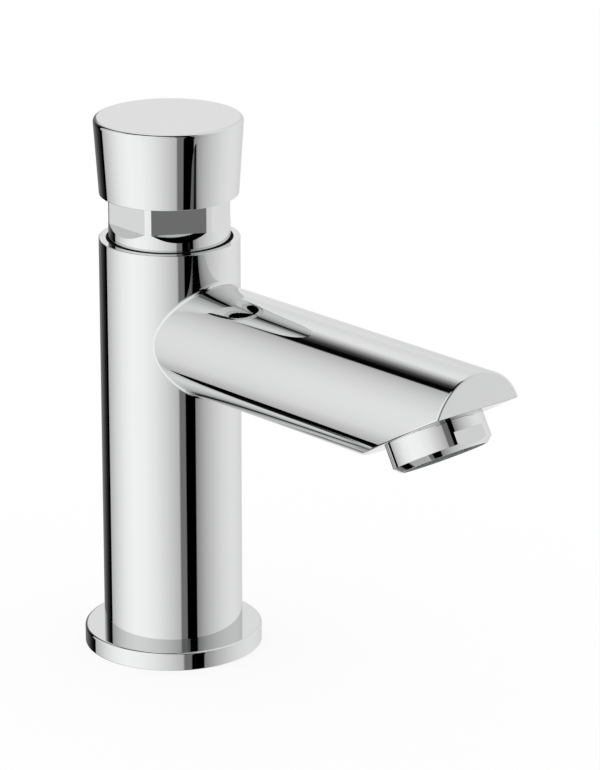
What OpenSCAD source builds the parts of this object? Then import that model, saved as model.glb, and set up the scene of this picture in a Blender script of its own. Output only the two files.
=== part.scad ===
// Push timed tap: a self-closing basin tap with a press-down button and an angled outlet.
// Millimetres. The deck is z = 0, the column stands along +Z and the spout points along +X.

/* [Deck flange] */
// Diameter of the flange that rests on the deck
flange_d = 50; // [47:0.5:60]
// Thickness of the flange
flange_h = 5.2; // [4:0.1:9]
// Radius on the flange's top edge
flange_edge = 0.8; // [0.2:0.1:1.5]
// Width of the rubber ring let into the flange
gasket_w = 3; // [2:0.1:3.4]
// Thickness of the rubber ring let into the flange
gasket_t = 1.6; // [1:0.1:2.4]
// Wall between the flange's bore and the rubber ring
gasket_inset = 2; // [1.5:0.1:2.5]

/* [Column] */
// Diameter of the column
column_d = 39; // [37.5:0.5:43]
// Wall of the column around the valve
column_wall = 4.5; // [4:0.1:5]
// Wall of the column at its rim
rim_wall = 2; // [1.6:0.1:2.4]
// Radius on the rim's outer edge
rim_edge = 0.25; // [0.2:0.05:1]
// Height of the rim above the spout's axis
rim_rise = 25.6; // [23:0.1:40]
// Step at the foot of the column, where the flange fits
foot_step = 2.1; // [1.5:0.1:3]
// Gap between the foot of the column and the deck
foot_lift = 0.6; // [0.4:0.1:1]

/* [Inlet] */
// Radius of the inlet socket, tapped for a G 1/2 shank
inlet_r = 9.3; // [7.6:0.1:10]
// Length of the inlet socket
inlet_len = 14; // [10:0.5:18]
// Step from the socket down to the filter's seat
filter_step = 0.7; // [0.5:0.1:1.2]
// Height of the filter
filter_h = 3; // [2:0.1:5]
// Diameter of the passage above the filter
passage_d = 12; // [8:0.5:13]
// Thickness of the floor above the filter
floor_t = 4; // [3:0.5:8]

/* [Spout] */
// Height of the spout's axis above the deck
spout_z = 93; // [86:0.5:140]
// Diameter of the spout
spout_d = 31.6; // [30.5:0.1:33]
// Reach of the spout from the column's axis to its front face
spout_reach = 120.6; // [105:0.2:180]
// Wall of the spout
spout_wall = 2.5; // [2:0.1:3]
// Wall at the front face and along the sloping underside
nose_wall = 3; // [2:0.1:4]
// Slope of the underside at the outlet, in degrees
nozzle_tilt = 30; // [25:1:35]
// Height of the front face's lower edge above the spout's axis
nose_rise = 6; // [4:0.1:8]
// Step down to the root that is brazed into the column
root_step = 2.3; // [2:0.1:3]
// Wall of the root
root_wall = 1.9; // [1.4:0.1:2.5]
// Length of root left past the column's face before the bore widens
root_land = 3; // [2:0.1:6]

/* [Aerator] */
// Diameter of the aerator's ring
aerator_d = 27; // [26:0.1:28]
// Height of the aerator's ring below the spout
aerator_h = 8.2; // [7:0.1:10]
// Chamfer around the outlet
aerator_chamfer = 1.5; // [0.5:0.1:1.6]
// Width of the ring's flat lip around its mouth
aerator_lip = 0.6; // [0.4:0.1:1]
// Depth of the mouth that the insert's flange sits in
mouth_depth = 1.3; // [1:0.1:2]
// Size across the ring's two spanner flats
aerator_flats = 25; // [24.6:0.1:25.6]
// Length of round ring left above the spanner flats
aerator_band = 3.4; // [2:0.1:5]
// Distance along the underside from its front edge to the aerator's axis
aerator_setback = 18.7; // [17:0.1:22]
// Diameter of the bore tapped for the aerator's M24 thread
aerator_bore_d = 23; // [22:0.1:24]
// Length of thread on the aerator's ring
aerator_thread_len = 6; // [5:0.1:8]
// Thickness of the flat washer above the aerator
aerator_washer_t = 1.5; // [1:0.1:2]
// Width of the shoulder that the washer seals on
aerator_shoulder_w = 1.9; // [1.4:0.1:2.4]
// Rows of holes around the middle hole of the outlet plate
outlet_rows = 2; // [1:1:3]
// Spacing of the holes in the outlet plate
outlet_pitch = 3.4; // [3:0.1:3.6]
// Diameter of the holes in the outlet plate
outlet_hole_d = 2.6; // [1.6:0.1:2.8]
// Number of jets in the upper plate
jet_count = 12; // [6:1:16]

/* [Bonnet] */
// Size across the bonnet's six flats
bonnet_af = 30; // [28:0.5:31]
// Gap around the bonnet inside the rim
rim_gap = 0.65; // [0.5:0.05:1.1]
// Height of the round collar between the rim and the flats
collar_h = 4.8; // [3.5:0.1:6]
// Turn of the flats from their place square to the spout, in degrees
bonnet_turn = -0.7; // [-30:0.1:30]
// Slope of the run-out at the foot of each flat, in degrees
flat_runout = 48; // [40:1:55]
// Depth of the spring's recess
recess_depth = 11; // [9:0.5:12]
// Wall between the spring's recess and the flats
recess_wall = 2.5; // [1.8:0.1:3]
// Thickness of the web that guides the stem
web_t = 11.5; // [10:0.5:13]
// Section of the square ring that seals the bonnet, flush with the rim
bonnet_seal_t = 1.5; // [1.2:0.1:1.7]

/* [Button] */
// Travel of the button
stroke = 9; // [6:0.5:11]
// Length of the bonnet in view between the rim and the button
neck_show = 12.56; // [12.5:0.02:16]
// Height of the button
cap_h = 21.34; // [20:0.02:26]
// Wall of the button at its lower edge
cap_wall = 2.02; // [1.6:0.02:3]
// Distance that the button's side flares out towards its top
cap_flare = 1.36; // [0:0.02:3]
// Radius on the button's top edge
cap_edge = 1.2; // [0.4:0.1:2]
// Thickness of the button's top
cap_top_t = 3.2; // [2.4:0.1:4]
// Diameter of the boss inside the button
boss_d = 14; // [12.5:0.5:16]
// Size across the flats of the lock nut under the boss
lock_nut_af = 13; // [12:0.5:14]
// Height of the lock nut
lock_nut_h = 3.2; // [2.5:0.1:4]

/* [Return spring] */
// Diameter of the spring's wire
wire_d = 1.6; // [1.2:0.1:1.7]
// Turns of the spring
turns = 6; // [4:0.5:6]
// Gap around the spring in its recess
spring_gap = 1.2; // [0.6:0.1:1.6]

/* [Stem and piston] */
// Diameter of the stem below the piston
stem_d = 9; // [8.5:0.1:10]
// Diameter of the stem above the piston
stem_top_d = 8; // [7:0.1:8.2]
// Diameter of the stem's threaded lower end
stem_end_d = 5; // [4:0.1:6]
// Height of the piston
piston_h = 5; // [4.5:0.1:6.5]
// Height of the lip seal around the piston
lip_h = 2.5; // [2:0.1:3]
// Thickness of the clip above the piston
clip_t = 0.8; // [0.6:0.1:1]
// Diameter of the timing jet in the piston
jet_d = 2; // [1.6:0.1:2.2]
// Diameter of the bleed hole through the timing jet
bleed_d = 0.6; // [0.4:0.1:1]
// Thickness of the plate that guides the stem under the piston
plate_t = 4; // [3:0.1:5]
// Wall of the timing sleeve
sleeve_wall = 2; // [1.8:0.1:2.4]
// Width of the water ring between the sleeve and the column
annulus = 2; // [1.5:0.1:2.5]
// Thickness of the ring that seals the sleeve in the bonnet
sleeve_seal_t = 1.2; // [1:0.1:1.4]
// Diameter of the guide bush around the stem
bush_d = 13; // [12:0.1:14]
// Thickness of the guide bush's flange
bush_flange_t = 1.5; // [1:0.1:2]

/* [Valve] */
// Depth of the valve's shoulder below the spout
shoulder_drop = 3.2; // [1:0.1:8]
// Width of the shoulder
shoulder_w = 4; // [3.5:0.1:4.5]
// Thickness of the shoulder
shoulder_t = 5; // [4:0.1:8]
// Thickness of the gasket on the shoulder
seat_gasket_t = 1.5; // [1:0.1:2]
// Diameter of the valve seat's bore
seat_bore_d = 14; // [13:0.1:14.6]
// Height of the valve seat
seat_h = 3.5; // [3:0.1:5]
// Height of the raised lip under the seat
lip_drop = 0.8; // [0.5:0.1:1]
// Width of the raised lip
lip_w = 1.2; // [0.8:0.1:1.5]
// Thickness of the valve's rubber washer
washer_t = 2.5; // [2:0.1:4]
// Thickness of the valve head under the washer
head_t = 2.5; // [2:0.1:4]
// Size across the flats of the nut under the valve head
valve_nut_af = 8; // [8:0.5:10]
// Height of the nut under the valve head
valve_nut_h = 4; // [3:0.1:5]
// Number of windows in the outlet cage
window_count = 6; // [4:1:6]
// Width of a window
window_w = 7; // [5:0.1:7.4]
// Wall of the outlet cage
cage_wall = 3.5; // [3:0.1:4]

/* [Fits] */
// Radial clearance of the stem in its guides
running_gap = 0.05; // [0.02:0.01:0.09]
// Radial clearance of parts that are set in a bore
slip_gap = 0.05; // [0.02:0.01:0.1]
// Clearance between the button and the bonnet
button_gap = 0.35; // [0.3:0.01:0.5]
// Clearance at the ends of the moving parts' travel
end_gap = 1.3; // [0.8:0.1:1.5]
// Clearance of the closed valve above its washer
valve_gap = 0.05; // [0.02:0.01:0.1]
// Small chamfer on machined edges
edge_break = 0.3; // [0.1:0.05:0.4]

/* [Hidden] */
$fn = 96;

// How far a cutting shape runs past the face that it cuts
overshoot = 1;
chrome_color = "#dfe2e5";
brass_color = "#b99a52";
steel_color = "#a9adb2";
rubber_color = "#26272a";
plastic_color = "#e7e5dd";
grey_color = "#6d7176";

// Column, from the deck to its rim
column_r = column_d / 2;
bore_r = column_r - column_wall;
rim_bore_r = column_r - rim_wall;
thread_r = rim_bore_r - bonnet_seal_t;
foot_r = column_r - foot_step;
rim_z = spout_z + rim_rise;
rim_floor_z = rim_z - bonnet_seal_t;
socket_top_z = foot_lift + inlet_len;
filter_top_z = socket_top_z + filter_h;
filter_seat_r = inlet_r - filter_step;
filter_frame_r = filter_seat_r - slip_gap;
filter_frame_w = 1.4;
filter_bar_w = 1.2;
filter_mesh_gap = 0.55;
filter_mesh_t = 0.5;
filter_mesh_rows = 3;
filter_mesh_open = 0.7;
chamber_floor_z = filter_top_z + floor_t;
shoulder_z = spout_z - spout_d / 2 - shoulder_drop;
shoulder_r = bore_r - shoulder_w;

// Spout and its root in the column
spout_r = spout_d / 2;
root_r = spout_r - root_step;
root_hole_r = root_r + slip_gap;
thread_clear = 1.95;
thread_z = spout_z + root_hole_r + thread_clear;

// Bonnet and button, from the rim up
collar_r = rim_bore_r - rim_gap;
flats_z = rim_z + collar_h;
cap_bottom_z = rim_z + neck_show;
cap_top_z = cap_bottom_z + cap_h;
cap_bore_r = collar_r + button_gap;
cap_bottom_r = cap_bore_r + cap_wall;
ceiling_z = cap_top_z - cap_top_t;
bonnet_top_z = ceiling_z - stroke - end_gap;
recess_z = bonnet_top_z - recess_depth;
recess_r = bonnet_af / 2 - recess_wall;
web_z = recess_z - web_t;
nut_clear = 0.8;
lock_nut_z = recess_z + stroke + nut_clear;
boss_z = lock_nut_z + lock_nut_h;

// Stem seal and bush in the bonnet's web
stem_hole_gap = 0.2;
stem_r = stem_d / 2;
stem_top_r = stem_top_d / 2;
stem_end_r = stem_end_d / 2;
bush_r = bush_d / 2;
bush_flange_w = 2;
stem_seal_t = bush_r - slip_gap - stem_top_r - running_gap;
web_lip_t = 1.5;
stem_seal_z = web_z + web_lip_t;
bush_z = stem_seal_z + stem_seal_t;

// Timing chamber and the stack below it, with the timing jet midway between stem and lip seal
sleeve_seal_drop = 2;
lip_groove_w = 2.6;
sleeve_r = bore_r - annulus;
sleeve_seal_z = web_z - sleeve_seal_t - sleeve_seal_drop;
chamber_r = sleeve_r - sleeve_wall;
lip_groove_r = chamber_r - lip_groove_w;
lip_skirt_t = 0.8;
jet_at = (stem_top_r + lip_groove_r) / 2;
clip_w = 2.2;
plate_ports = 4;
plate_port_r = 1.2;
piston_top_z = web_z - clip_t - end_gap;
piston_z = piston_top_z - piston_h;
plate_top_z = piston_z - stroke - end_gap;
plate_z = plate_top_z - plate_t;
seat_z = shoulder_z + seat_gasket_t;
seat_top_z = seat_z + seat_h;
cage_h = plate_z - seat_top_z;
cage_rail = 2.5;

// Valve parts on the stem's lower end
lip_r = seat_bore_d / 2 + lip_w;
washer_top_z = seat_z - lip_drop - valve_gap;
washer_z = washer_top_z - washer_t;
washer_cover = 0.4;
washer_r = lip_r + washer_cover;
head_rim_w = 1;
head_rim_h = washer_t / 2;
head_z = washer_z - head_t;
valve_nut_z = head_z - valve_nut_h;
stem_tail = 0.8;
stem_bottom_z = valve_nut_z - stem_tail;
stem_top_z = ceiling_z - end_gap;

// Aerator, measured along its own axis from the spout's underside
aerator_r = aerator_d / 2;
aerator_bore_r = aerator_bore_d / 2;
aerator_thread_r = aerator_bore_r - slip_gap;
aerator_wall = 1.3;
insert_bore_r = aerator_thread_r - aerator_wall;
insert_r = insert_bore_r - slip_gap;
mouth_r = aerator_r - aerator_chamfer - aerator_lip;
mouth_z = mouth_depth - aerator_h;
insert_recess = 0.1;
insert_z = insert_recess - aerator_h;
insert_wall = 1.2;
outlet_plate_t = 2.5;
upper_plate_t = 2;
screen_depth = 2;
jet_r = 0.6;
jet_ring_r = 6.06;
screen_r = insert_r - insert_wall - slip_gap;
screen_z = aerator_thread_len - screen_depth;
screen_t = 0.6;
screen_rise = 3;
screen_hole_d = 0.9;
screen_holes = 12;
washer_seat_z = aerator_thread_len + aerator_washer_t;
aerator_port_r = aerator_bore_r - aerator_shoulder_w;
port_lip_t = 1.5;

// Points on an arc about a centre, from one angle to another
function arc(centre, r, from, to, steps = 6) =
    [for (i = [0:steps]) let (a = from + (to - from) * i / steps) centre + r * [cos(a), sin(a)]];

// Middle points of holes in rings of six, twelve and so on around a middle hole
function hex_rings(rows, pitch) = concat(
    [[0, 0]],
    [for (row = [1:rows], i = [0:6 * row - 1]) let (a = 60 * i / row) row * pitch * [cos(a), sin(a)]]
);

// Points of one ring around a helix, at an angle along it
function helix_ring(r, pitch, wire_r, a, sides) =
    [for (k = [0:sides - 1]) let (b = 360 * k / sides, reach = r + wire_r * cos(b))
        [reach * cos(a), reach * sin(a), pitch * a / 360 + wire_r * sin(b)]];

// Flat-ended ring between two radii
module ring(outer_r, inner_r, z, h) {
    rotate_extrude()
        translate([inner_r, z])
            square([outer_r - inner_r, h]);
}

// Round seal of a given section that fills the space outside an inner radius
module o_ring(inner_r, section_d, z) {
    rotate_extrude()
        translate([inner_r + section_d / 2, z + section_d / 2])
            circle(d = section_d);
}

// Hexagonal nut with a round bore
module hex_nut(af, bore_r, z, h) {
    translate([0, 0, z])
        difference() {
            cylinder(r = af / 2 / cos(30), h = h, $fn = 6);
            translate([0, 0, -overshoot])
                cylinder(r = bore_r, h = h + 2 * overshoot);
        }
}

// Round bar along the spout's axis
module spout_bar(r, from_x, to_x) {
    translate([from_x, 0, spout_z])
        rotate([0, 90, 0])
            cylinder(r = r, h = to_x - from_x);
}

// Frame on the spout's underside: x runs up the slope to the front edge and z runs into the spout
module underside_frame() {
    translate([spout_reach, 0, spout_z + nose_rise])
        rotate([0, -nozzle_tilt, 0])
            children();
}

// Frame on the aerator's axis
module aerator_frame() {
    underside_frame()
        translate([-aerator_setback, 0, 0])
            children();
}

// Everything outside the plane that lies a given depth inside the underside
module below_underside(depth) {
    underside_frame()
        translate([-spout_reach, -spout_d, -spout_reach])
            cube([2 * spout_reach, 2 * spout_d, spout_reach + depth]);
}

module column() {
    color(chrome_color)
    difference() {
        rotate_extrude()
            polygon(concat([
                [inlet_r, foot_lift], [foot_r, foot_lift],
                [foot_r, flange_h], [column_r, flange_h]
            ], arc([column_r - rim_edge, rim_z - rim_edge], rim_edge, 0, 90), [
                [rim_bore_r, rim_z], [rim_bore_r, rim_floor_z],
                [thread_r, rim_floor_z], [thread_r, thread_z],
                [bore_r, thread_z], [bore_r, shoulder_z],
                [shoulder_r, shoulder_z], [shoulder_r, shoulder_z - shoulder_t],
                [bore_r, shoulder_z - shoulder_t], [bore_r, chamber_floor_z],
                [passage_d / 2, chamber_floor_z], [passage_d / 2, filter_top_z],
                [filter_seat_r, filter_top_z], [filter_seat_r, socket_top_z],
                [inlet_r, socket_top_z]
            ]));
        spout_bar(root_hole_r, 0, column_r + overshoot);
    }
}

// Waterway inside the spout, with the aerator's boss left standing in it
module spout_waterway() {
    spout_bar(root_r - root_wall, 0, column_r + root_land + overshoot);
    difference() {
        spout_bar(spout_r - spout_wall, column_r + root_land, spout_reach - nose_wall);
        below_underside(nose_wall);
        aerator_frame()
            cylinder(r = spout_d, h = washer_seat_z + port_lip_t);
    }
    aerator_frame() {
        translate([0, 0, -overshoot])
            cylinder(r = aerator_bore_r, h = washer_seat_z + overshoot);
        cylinder(r = aerator_port_r, h = washer_seat_z + port_lip_t + overshoot);
    }
}

module spout() {
    color(chrome_color)
    difference() {
        union() {
            difference() {
                spout_bar(spout_r, 0, spout_reach);
                cylinder(r = column_r + slip_gap, h = 2 * rim_z);
            }
            difference() {
                spout_bar(root_r, 0, column_r + root_land);
                cylinder(r = bore_r, h = 2 * rim_z);
            }
        }
        below_underside(0);
        spout_waterway();
    }
}

module base_flange() {
    gasket_r = foot_r + slip_gap + gasket_inset;
    flange_r = flange_d / 2;
    edge_centre = [flange_r - flange_edge, flange_h - flange_edge];
    color(chrome_color)
    rotate_extrude()
        polygon(concat(
            [
                [foot_r + slip_gap, 0], [gasket_r, 0],
                [gasket_r, gasket_t], [gasket_r + gasket_w, gasket_t],
                [gasket_r + gasket_w, 0], [flange_r, 0]
            ],
            arc(edge_centre, flange_edge, 0, 90),
            [[foot_r + slip_gap, flange_h]]
        ));
}

module base_gasket() {
    inner_r = foot_r + slip_gap + gasket_inset;
    color(rubber_color)
        ring(inner_r + gasket_w, inner_r, 0, gasket_t);
}

module filter_frame() {
    bar_len = 2 * filter_frame_r - filter_frame_w;
    color(plastic_color) {
        ring(filter_frame_r, filter_frame_r - filter_frame_w, socket_top_z, filter_h);
        for (turn = [0, 90])
            rotate([0, 0, turn])
                translate([-bar_len / 2, -filter_bar_w / 2, socket_top_z])
                    cube([bar_len, filter_bar_w, filter_h / 2]);
    }
}

module filter_mesh() {
    mesh_r = filter_frame_r - filter_frame_w - filter_mesh_gap;
    mesh_pitch = mesh_r / (filter_mesh_rows + 0.5);
    hole_d = mesh_pitch * filter_mesh_open;
    color(steel_color)
    translate([0, 0, socket_top_z + filter_h / 2])
        difference() {
            cylinder(r = mesh_r, h = filter_mesh_t);
            for (p = hex_rings(filter_mesh_rows, mesh_pitch))
                translate([p.x, p.y, -overshoot])
                    cylinder(d = hole_d, h = filter_mesh_t + 2 * overshoot, $fn = 16);
        }
}

module bonnet() {
    thread_out_r = thread_r - slip_gap;
    stem_hole_r = stem_top_r + stem_hole_gap;
    skirt_z = thread_z + edge_break;
    flange_r = bush_r + bush_flange_w;
    flat_r = bonnet_af / 2;
    cut_r = collar_r + overshoot;
    color(chrome_color)
    difference() {
        rotate_extrude()
            polygon([
                [stem_hole_r, web_z], [sleeve_r + slip_gap, web_z],
                [sleeve_r + slip_gap, skirt_z], [thread_out_r, skirt_z],
                [thread_out_r, rim_z], [collar_r, rim_z],
                [collar_r, bonnet_top_z - edge_break], [collar_r - edge_break, bonnet_top_z],
                [recess_r, bonnet_top_z], [recess_r, recess_z],
                [flange_r, recess_z], [flange_r, recess_z - bush_flange_t],
                [bush_r, recess_z - bush_flange_t], [bush_r, stem_seal_z],
                [stem_hole_r, stem_seal_z]
            ]);
        for (turn = [30:60:330])
            rotate([90, 0, turn + bonnet_turn])
                linear_extrude(height = 2 * collar_r, center = true)
                    polygon([
                        [flat_r, flats_z], [cut_r, flats_z - (cut_r - flat_r) * tan(flat_runout)],
                        [cut_r, bonnet_top_z + overshoot], [flat_r, bonnet_top_z + overshoot]
                    ]);
    }
}

module bonnet_seal() {
    color(rubber_color)
        ring(rim_bore_r - slip_gap, thread_r, rim_floor_z, bonnet_seal_t);
}

module guide_bush() {
    color(plastic_color)
    rotate_extrude()
        polygon([
            [stem_top_r + running_gap, bush_z], [bush_r - slip_gap, bush_z],
            [bush_r - slip_gap, recess_z - bush_flange_t],
            [bush_r + bush_flange_w - slip_gap, recess_z - bush_flange_t],
            [bush_r + bush_flange_w - slip_gap, recess_z], [stem_top_r + running_gap, recess_z]
        ]);
}

module stem_o_ring() {
    color(rubber_color)
        o_ring(stem_top_r + running_gap, stem_seal_t, stem_seal_z);
}

module timing_sleeve() {
    groove_r = sleeve_r + slip_gap - sleeve_seal_t;
    groove_top_z = sleeve_seal_z + sleeve_seal_t;
    color(plastic_color)
    rotate_extrude()
        polygon([
            [chamber_r, plate_top_z], [sleeve_r, plate_top_z],
            [sleeve_r, sleeve_seal_z], [groove_r, sleeve_seal_z],
            [groove_r, groove_top_z], [sleeve_r, groove_top_z],
            [sleeve_r, web_z], [chamber_r, web_z]
        ]);
}

module sleeve_o_ring() {
    color(rubber_color)
        o_ring(sleeve_r + slip_gap - sleeve_seal_t, sleeve_seal_t, sleeve_seal_z);
}

module guide_plate() {
    color(plastic_color)
    difference() {
        ring(sleeve_r, stem_r + running_gap, plate_z, plate_t);
        for (i = [0.5:plate_ports - 0.5])
            rotate([0, 0, 360 * i / plate_ports])
                translate([(stem_r + chamber_r) / 2, 0, plate_z - overshoot])
                    cylinder(r = plate_port_r, h = plate_t + 2 * overshoot);
    }
}

module outlet_cage() {
    color(plastic_color)
    difference() {
        ring(sleeve_r, sleeve_r - cage_wall, seat_top_z, cage_h);
        for (i = [0:window_count - 1])
            rotate([0, 0, 360 * i / window_count])
                translate([0, -window_w / 2, seat_top_z + cage_rail])
                    cube([sleeve_r + overshoot, window_w, cage_h - 2 * cage_rail]);
    }
}

module valve_seat() {
    bore = seat_bore_d / 2;
    color(brass_color)
    rotate_extrude()
        polygon([
            [bore, seat_z - lip_drop], [lip_r, seat_z - lip_drop],
            [lip_r, seat_z], [bore_r - slip_gap, seat_z],
            [bore_r - slip_gap, seat_top_z], [bore + seat_h / 4, seat_top_z],
            [bore, seat_top_z - seat_h / 4]
        ]);
}

module seat_gasket() {
    color(rubber_color)
        ring(bore_r - slip_gap, shoulder_r, shoulder_z, seat_gasket_t);
}

module stem() {
    groove_r = stem_top_r - edge_break;
    color(steel_color)
    rotate_extrude()
        polygon([
            [0, stem_bottom_z], [stem_end_r - edge_break, stem_bottom_z],
            [stem_end_r, stem_bottom_z + edge_break], [stem_end_r, washer_top_z],
            [stem_r, washer_top_z], [stem_r, piston_z],
            [stem_top_r, piston_z], [stem_top_r, piston_top_z],
            [groove_r, piston_top_z], [groove_r, piston_top_z + clip_t],
            [stem_top_r, piston_top_z + clip_t], [stem_top_r, stem_top_z - edge_break],
            [stem_top_r - edge_break, stem_top_z], [0, stem_top_z]
        ]);
}

module piston() {
    piston_r = chamber_r - button_gap;
    lip_z = piston_z + (piston_h - lip_h) / 2;
    color(plastic_color)
    difference() {
        rotate_extrude()
            polygon([
                [stem_top_r + slip_gap, piston_z], [piston_r, piston_z],
                [piston_r, lip_z], [lip_groove_r, lip_z],
                [lip_groove_r, lip_z + lip_h], [piston_r, lip_z + lip_h],
                [piston_r, piston_top_z], [stem_top_r + slip_gap, piston_top_z]
            ]);
        translate([jet_at, 0, piston_z - overshoot])
            cylinder(d = jet_d, h = piston_h + 2 * overshoot);
    }
}

// Lip seal with its skirt open downwards, so that water passes it only on the way down
module piston_lip_seal() {
    lip_z = piston_z + (piston_h - lip_h) / 2;
    skirt_r = chamber_r - running_gap;
    color(rubber_color)
    rotate_extrude()
        polygon([
            [lip_groove_r, lip_z], [lip_groove_r + lip_skirt_t, lip_z],
            [lip_groove_r + lip_skirt_t, lip_z + lip_h / 2],
            [skirt_r - lip_skirt_t, lip_z + lip_h / 2], [skirt_r - lip_skirt_t / 2, lip_z],
            [skirt_r, lip_z], [chamber_r - button_gap, lip_z + lip_h],
            [lip_groove_r, lip_z + lip_h]
        ]);
}

module piston_clip() {
    clip_r = stem_top_r + clip_w;
    color(steel_color)
    difference() {
        ring(clip_r, stem_top_r - edge_break, piston_top_z, clip_t);
        translate([0, -jet_d, piston_top_z - overshoot])
            cube([clip_r + overshoot, 2 * jet_d, clip_t + 2 * overshoot]);
    }
}

module timing_jet() {
    color(brass_color)
    translate([jet_at, 0, 0])
        ring(jet_d / 2, bleed_d / 2, piston_z, piston_h);
}

module valve_washer() {
    color(rubber_color)
        ring(washer_r, stem_end_r, washer_z, washer_t);
}

module valve_head() {
    head_r = washer_r + head_rim_w;
    color(brass_color)
    rotate_extrude()
        polygon([
            [stem_end_r, head_z], [head_r - head_rim_w, head_z],
            [head_r, head_z + head_rim_w], [head_r, washer_z + head_rim_h],
            [washer_r, washer_z + head_rim_h], [washer_r, washer_z],
            [stem_end_r, washer_z]
        ]);
}

module valve_nut() {
    color(brass_color)
        hex_nut(valve_nut_af, stem_end_r, valve_nut_z, valve_nut_h);
}

module push_cap() {
    boss_r = boss_d / 2;
    top_r = cap_bottom_r + cap_flare;
    lean = atan2(cap_flare, cap_h - cap_edge);
    edge_centre = [top_r - cap_edge / cos(lean), cap_top_z - cap_edge];
    color(chrome_color)
    rotate_extrude()
        polygon(concat(
            [
                [stem_top_r + slip_gap, boss_z], [boss_r, boss_z],
                [boss_r, ceiling_z], [cap_bore_r, ceiling_z],
                [cap_bore_r, cap_bottom_z], [cap_bottom_r, cap_bottom_z]
            ],
            arc(edge_centre, cap_edge, -lean, 90, 8),
            [[0, cap_top_z], [0, stem_top_z + slip_gap], [stem_top_r + slip_gap, stem_top_z + slip_gap]]
        ));
}

module cap_lock_nut() {
    color(steel_color)
        hex_nut(lock_nut_af, stem_top_r + slip_gap, lock_nut_z, lock_nut_h);
}

module return_spring() {
    wire_r = wire_d / 2;
    coil_r = recess_r - spring_gap - wire_r;
    pitch = (ceiling_z - recess_z - wire_d - 2 * slip_gap) / turns;
    sides = 6;
    turn_steps = 16;
    steps = turn_steps * turns;
    points = [for (i = [0:steps]) each helix_ring(coil_r, pitch, wire_r, 360 * i / turn_steps, sides)];
    first = [for (k = [1:sides - 2]) [0, k, k + 1]];
    last = [for (k = [1:sides - 2]) [0, k + 1, k] + steps * sides * [1, 1, 1]];
    walls = [for (i = [0:steps - 1], k = [0:sides - 1])
        let (a = i * sides + k, b = i * sides + (k + 1) % sides)
        each [[a, a + sides, b + sides], [a, b + sides, b]]];
    color(steel_color)
    translate([0, 0, recess_z + wire_r + slip_gap])
        polyhedron(points, concat(first, last, walls), convexity = 10);
}

module aerator_housing() {
    color(chrome_color)
    aerator_frame()
        difference() {
            rotate_extrude()
                polygon([
                    [mouth_r, -aerator_h], [aerator_r - aerator_chamfer, -aerator_h],
                    [aerator_r, aerator_chamfer - aerator_h],
                    [aerator_r, -edge_break], [aerator_r - edge_break, 0],
                    [aerator_thread_r, 0], [aerator_thread_r, aerator_thread_len],
                    [insert_bore_r, aerator_thread_len], [insert_bore_r, mouth_z],
                    [mouth_r, mouth_z]
                ]);
            for (turn = [0, 180])
                rotate([0, 0, turn])
                    translate([aerator_flats / 2, -aerator_d, -aerator_h - overshoot])
                        cube([aerator_d, 2 * aerator_d, aerator_h - aerator_band + overshoot]);
        }
}

module aerator_insert() {
    upper_z = screen_z - upper_plate_t;
    mixing_z = insert_z + outlet_plate_t;
    color(grey_color)
    aerator_frame()
        difference() {
            union() {
                translate([0, 0, insert_z])
                    cylinder(r = insert_r, h = aerator_thread_len - insert_z);
                translate([0, 0, insert_z])
                    cylinder(r = mouth_r - slip_gap, h = mouth_z - insert_z);
            }
            translate([0, 0, mixing_z])
                cylinder(r = insert_r - insert_wall, h = upper_z - mixing_z);
            translate([0, 0, screen_z])
                cylinder(r = insert_r - insert_wall, h = screen_depth + overshoot);
            for (p = hex_rings(outlet_rows, outlet_pitch))
                translate([p.x, p.y, insert_z - overshoot])
                    cylinder(d = outlet_hole_d, h = outlet_plate_t + 2 * overshoot, $fn = 24);
            for (i = [0:jet_count - 1])
                rotate([0, 0, 360 * i / jet_count])
                    translate([jet_ring_r, 0, upper_z - overshoot])
                        cylinder(r = jet_r, h = upper_plate_t + 2 * overshoot, $fn = 16);
        }
}

module aerator_screen() {
    crown_r = screen_r / 2;
    hole_ring_r = crown_r - screen_hole_d;
    crown_z = screen_z + screen_rise;
    color(steel_color)
    aerator_frame()
        difference() {
            rotate_extrude()
                polygon([
                    [0, crown_z], [crown_r, crown_z], [screen_r - screen_t, screen_z + screen_t],
                    [screen_r - screen_t, screen_z], [screen_r, screen_z],
                    [screen_r, screen_z + 2 * screen_t],
                    [crown_r + screen_t / 2, crown_z + screen_t], [0, crown_z + screen_t]
                ]);
            for (i = [0:screen_holes - 1])
                rotate([0, 0, 360 * i / screen_holes])
                    translate([hole_ring_r, 0, crown_z - overshoot])
                        cylinder(d = screen_hole_d, h = screen_t + 2 * overshoot, $fn = 16);
        }
}

module aerator_washer() {
    color(rubber_color)
    aerator_frame()
        ring(aerator_thread_r, aerator_port_r, aerator_thread_len, aerator_washer_t);
}

column();
spout();
base_flange();
base_gasket();
filter_frame();
filter_mesh();
bonnet();
bonnet_seal();
guide_bush();
stem_o_ring();
timing_sleeve();
sleeve_o_ring();
guide_plate();
outlet_cage();
valve_seat();
seat_gasket();
stem();
piston();
piston_lip_seal();
piston_clip();
timing_jet();
valve_washer();
valve_head();
valve_nut();
push_cap();
cap_lock_nut();
return_spring();
aerator_housing();
aerator_insert();
aerator_screen();
aerator_washer();
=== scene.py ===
"""Looks of a push timed tap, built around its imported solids.

The polished pieces that show are modelled again as fine, smooth meshes. The pieces inside keep their
solids and get finishes of their own. Sizes are in millimetres until a vertex is made.
"""

import logging
import math
from collections.abc import Callable, Iterable, Sequence
from dataclasses import dataclass
from enum import Enum
from typing import Any

import bmesh
import bpy
from bmesh.types import BMEdge, BMesh, BMVert
from mathutils import Matrix, Vector


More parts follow.
